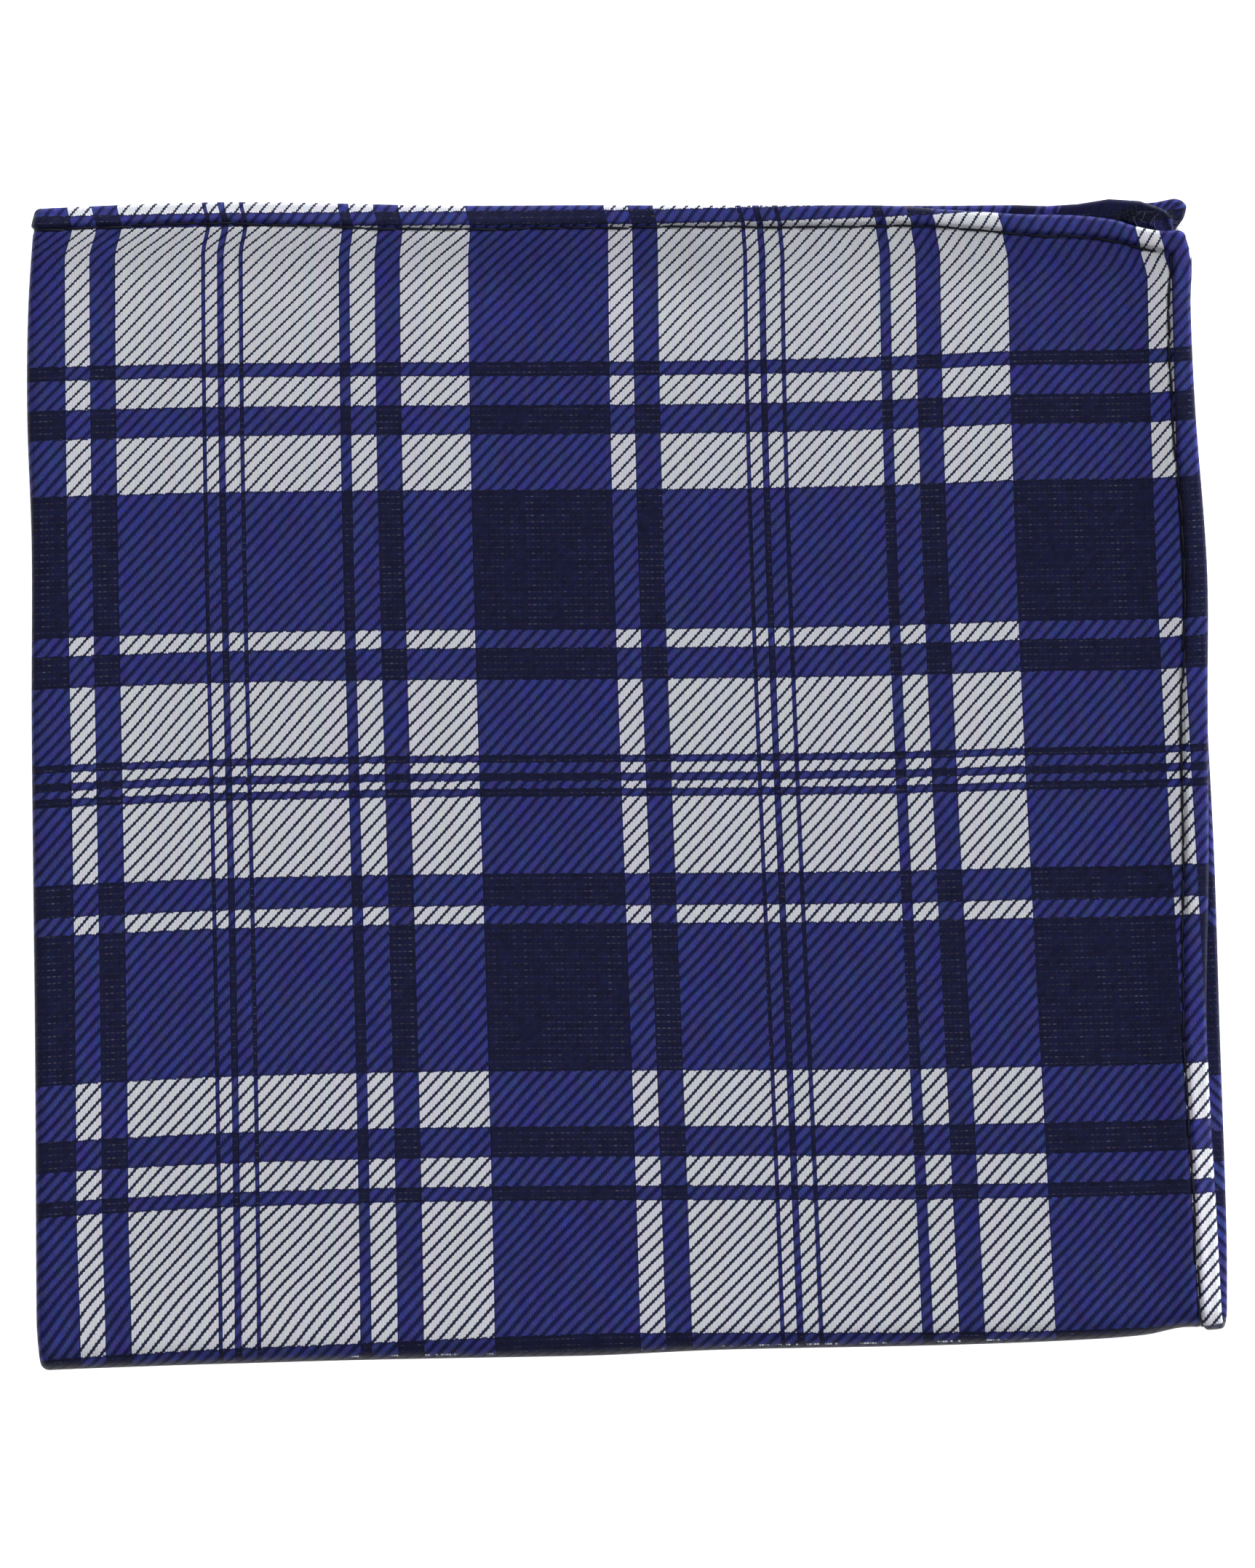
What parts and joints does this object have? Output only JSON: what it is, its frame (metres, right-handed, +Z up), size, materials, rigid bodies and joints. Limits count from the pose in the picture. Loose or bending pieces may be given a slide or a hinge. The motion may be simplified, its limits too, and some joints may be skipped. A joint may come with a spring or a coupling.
{
  "type": "folded pocket square",
  "caption": "Hemmed woven plaid pocket square folded in quarters and lying flat, a dressing accessory that is tucked into a breast pocket.",
  "frame": {"origin": "on the table under the middle of the folded square's box", "axes": "+X to the right along the bottom fold, +Y along the left fold towards the top hem, +Z up out of the top layer"},
  "size_m": [0.1252, 0.1223, 0.0062],
  "materials": {
    "plaid_cloth": "satin-like woven plaid with fine twill lines, silver white, royal blue and dark navy, slightly lustrous"
  },
  "bodies": {
    "root": {"folded_cloth": "plaid_cloth"}
  },
  "joints": []
}
